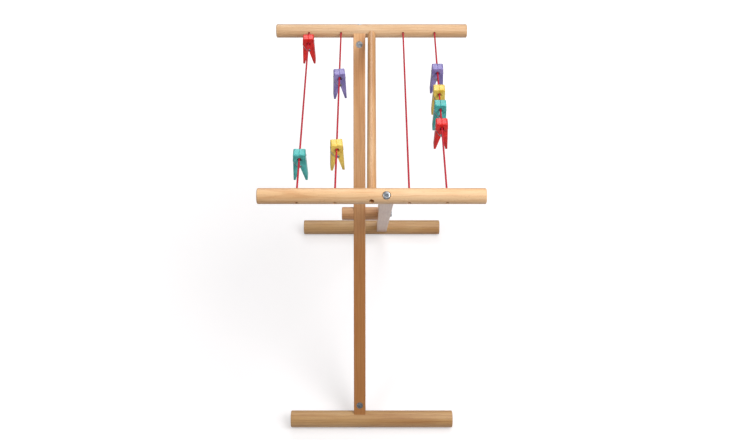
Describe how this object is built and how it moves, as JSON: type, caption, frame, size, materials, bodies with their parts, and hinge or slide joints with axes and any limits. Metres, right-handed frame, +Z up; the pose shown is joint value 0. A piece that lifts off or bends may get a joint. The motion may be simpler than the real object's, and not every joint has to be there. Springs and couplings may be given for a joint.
{
  "type": "folding clothes airer",
  "caption": "Small free-standing wooden clothes airer: two crossing post frames that fold about one pivot, with clothes lines between the top bars and clip pegs.",
  "frame": {"origin": "on the floor, midway between the two feet and under the middle of the bars", "axes": "+Z up, +X along the bars to the right as seen from the near top bar, +Y from the near top bar to the far top bar"},
  "size_m": [0.286, 0.442, 0.4812],
  "materials": {
    "beech_bar": "satin clear lacquer on turned beech",
    "beech_foot": "satin clear lacquer on turned beech",
    "beech_post": "satin clear lacquer on planed beech",
    "beech_dowel": "satin clear lacquer on beech dowel",
    "zinc_steel": "bright zinc plated",
    "brass": "turned",
    "red_cord": "braided cord",
    "spring_wire": "drawn wire",
    "red_lacquer": "coloured lacquer",
    "turquoise_lacquer": "coloured lacquer",
    "lilac_lacquer": "coloured lacquer",
    "yellow_lacquer": "coloured lacquer"
  },
  "bodies": {
    "frame_a": {"post_a": "beech_post", "far_top_bar": "beech_bar", "near_foot": "beech_foot", "frame_a_bolts": "zinc_steel", "frame_a_barrel_nuts": "zinc_steel", "pivot_spacer": "beech_dowel", "pivot_knob": "beech_dowel", "pivot_insert_nut": "brass", "pivot_bolt": "zinc_steel", "far_line_knots": "red_cord", "clothes_line_1": "red_cord", "clothes_line_2": "red_cord", "clothes_line_3": "red_cord", "clothes_line_4": "red_cord"},
    "frame_b": {"post_b": "beech_post", "near_top_bar": "beech_bar", "far_foot": "beech_foot", "frame_b_bolts": "zinc_steel", "frame_b_barrel_nuts": "zinc_steel", "near_line_knots": "red_cord"},
    "strut": {"strut": "beech_dowel", "strut_screw": "zinc_steel"},
    "red_peg_1": {"red_peg_1_left_leg": "red_lacquer", "red_peg_1_spring": "spring_wire"},
    "red_peg_1_jaw": {"red_peg_1_right_leg": "red_lacquer"},
    "turquoise_peg_1": {"turquoise_peg_1_left_leg": "turquoise_lacquer", "turquoise_peg_1_spring": "spring_wire"},
    "turquoise_peg_1_jaw": {"turquoise_peg_1_right_leg": "turquoise_lacquer"},
    "lilac_peg_1": {"lilac_peg_1_left_leg": "lilac_lacquer", "lilac_peg_1_spring": "spring_wire"},
    "lilac_peg_1_jaw": {"lilac_peg_1_right_leg": "lilac_lacquer"},
    "yellow_peg_1": {"yellow_peg_1_left_leg": "yellow_lacquer", "yellow_peg_1_spring": "spring_wire"},
    "yellow_peg_1_jaw": {"yellow_peg_1_right_leg": "yellow_lacquer"},
    "lilac_peg_2": {"lilac_peg_2_left_leg": "lilac_lacquer", "lilac_peg_2_spring": "spring_wire"},
    "lilac_peg_2_jaw": {"lilac_peg_2_right_leg": "lilac_lacquer"},
    "yellow_peg_2": {"yellow_peg_2_left_leg": "yellow_lacquer", "yellow_peg_2_spring": "spring_wire"},
    "yellow_peg_2_jaw": {"yellow_peg_2_right_leg": "yellow_lacquer"},
    "turquoise_peg_2": {"turquoise_peg_2_left_leg": "turquoise_lacquer", "turquoise_peg_2_spring": "spring_wire"},
    "turquoise_peg_2_jaw": {"turquoise_peg_2_right_leg": "turquoise_lacquer"},
    "red_peg_2": {"red_peg_2_left_leg": "red_lacquer", "red_peg_2_spring": "spring_wire"},
    "red_peg_2_jaw": {"red_peg_2_right_leg": "red_lacquer"}
  },
  "joints": [
    {"name": "fold", "type": "hinge", "parent": "frame_a", "child": "frame_b", "pos_m": [0, 0, 0.26007], "axis": [-1, 0, 0], "range_deg": [0, 60], "deforming": ["clothes_line_1", "clothes_line_2", "clothes_line_3", "clothes_line_4"]},
    {"name": "strut_swing", "type": "hinge", "parent": "frame_a", "child": "strut", "pos_m": [0, 0.17778, 0.47119], "axis": [1, 0, 0], "range_deg": [0, 46.3]},
    {"name": "red_peg_1_along_line", "type": "slide", "parent": "frame_a", "child": "red_peg_1", "axis": [0, 0.6196, 0.7849], "range_m": [0, 0.00988]},
    {"name": "red_peg_1_squeeze", "type": "hinge", "parent": "red_peg_1", "child": "red_peg_1_jaw", "pos_m": [-0.0936, 0.149, 0.46094], "axis": [0, 1, 0], "range_deg": [0, 20], "stiffness_Nm_per_rad": 0.05, "springref_deg": -34.38, "deforming": ["red_peg_1_spring"]},
    {"name": "turquoise_peg_1_along_line", "type": "slide", "parent": "frame_a", "child": "turquoise_peg_1", "axis": [0, 0.9929, 0.1191], "range_m": [0, 0.22883]},
    {"name": "turquoise_peg_1_squeeze", "type": "hinge", "parent": "turquoise_peg_1", "child": "turquoise_peg_1_jaw", "pos_m": [-0.0936, -0.106, 0.46094], "axis": [0, 1, 0], "range_deg": [0, 20], "stiffness_Nm_per_rad": 0.05, "springref_deg": -34.38, "deforming": ["turquoise_peg_1_spring"]},
    {"name": "lilac_peg_1_along_line", "type": "slide", "parent": "frame_a", "child": "lilac_peg_1", "axis": [0, 0.9925, 0.1225], "range_m": [0, 0.08585]},
    {"name": "lilac_peg_1_squeeze", "type": "hinge", "parent": "lilac_peg_1", "child": "lilac_peg_1_jaw", "pos_m": [-0.0458, 0.065, 0.46094], "axis": [-0.1132, 0.9936, 0], "range_deg": [0, 20], "stiffness_Nm_per_rad": 0.05, "springref_deg": -34.38, "deforming": ["lilac_peg_1_spring"]},
    {"name": "yellow_peg_1_along_line", "type": "slide", "parent": "frame_a", "child": "yellow_peg_1", "axis": [0, 0.9915, 0.1298], "range_m": [0, 0.20997]},
    {"name": "yellow_peg_1_squeeze", "type": "hinge", "parent": "yellow_peg_1", "child": "yellow_peg_1_jaw", "pos_m": [-0.0458, -0.087, 0.46094], "axis": [-0.1045, 0.9945, 0], "range_deg": [0, 20], "stiffness_Nm_per_rad": 0.05, "springref_deg": -34.38, "deforming": ["yellow_peg_1_spring"]},
    {"name": "lilac_peg_2_along_line", "type": "slide", "parent": "frame_a", "child": "lilac_peg_2", "axis": [0, 0.9979, 0.0644], "range_m": [0, 0.08237]},
    {"name": "lilac_peg_2_squeeze", "type": "hinge", "parent": "lilac_peg_2", "child": "lilac_peg_2_jaw", "pos_m": [0.094, 0.077, 0.46094], "axis": [0, 1, 0], "range_deg": [0, 20], "stiffness_Nm_per_rad": 0.05, "springref_deg": -34.38, "deforming": ["lilac_peg_2_spring"]},
    {"name": "yellow_peg_2_along_line", "type": "slide", "parent": "frame_a", "child": "yellow_peg_2", "axis": [0, 0.9917, 0.1283], "range_m": [0, 0.11525]},
    {"name": "yellow_peg_2_squeeze", "type": "hinge", "parent": "yellow_peg_2", "child": "yellow_peg_2_jaw", "pos_m": [0.094, 0.0285, 0.46094], "axis": [0, 1, 0], "range_deg": [0, 20], "stiffness_Nm_per_rad": 0.05, "springref_deg": -34.38, "deforming": ["yellow_peg_2_spring"]},
    {"name": "turquoise_peg_2_along_line", "type": "slide", "parent": "frame_a", "child": "turquoise_peg_2", "axis": [0, 0.9835, 0.1809], "range_m": [0, 0.13411]},
    {"name": "turquoise_peg_2_squeeze", "type": "hinge", "parent": "turquoise_peg_2", "child": "turquoise_peg_2_jaw", "pos_m": [0.094, -0.0055, 0.46094], "axis": [0, 1, 0], "range_deg": [0, 20], "stiffness_Nm_per_rad": 0.05, "springref_deg": -34.38, "deforming": ["turquoise_peg_2_spring"]},
    {"name": "red_peg_2_along_line", "type": "slide", "parent": "frame_a", "child": "red_peg_2", "axis": [0, 0.977, 0.2134], "range_m": [0, 0.15814]},
    {"name": "red_peg_2_squeeze", "type": "hinge", "parent": "red_peg_2", "child": "red_peg_2_jaw", "pos_m": [0.094, -0.0445, 0.46094], "axis": [0, 1, 0], "range_deg": [0, 20], "stiffness_Nm_per_rad": 0.05, "springref_deg": -34.38, "deforming": ["red_peg_2_spring"]}
  ],
  "couplings": [
    {"joint": "strut_swing", "follows": "fold", "ratio": 0.77166},
    {"joint": "red_peg_1_along_line", "follows": "fold", "m_per_rad": 0.009247},
    {"joint": "turquoise_peg_1_along_line", "follows": "fold", "m_per_rad": 0.21832},
    {"joint": "lilac_peg_1_along_line", "follows": "fold", "m_per_rad": 0.081785},
    {"joint": "yellow_peg_1_along_line", "follows": "fold", "m_per_rad": 0.20032},
    {"joint": "lilac_peg_2_along_line", "follows": "fold", "m_per_rad": 0.078467},
    {"joint": "yellow_peg_2_along_line", "follows": "fold", "m_per_rad": 0.10987},
    {"joint": "turquoise_peg_2_along_line", "follows": "fold", "m_per_rad": 0.12787},
    {"joint": "red_peg_2_along_line", "follows": "fold", "m_per_rad": 0.15082}
  ]
}
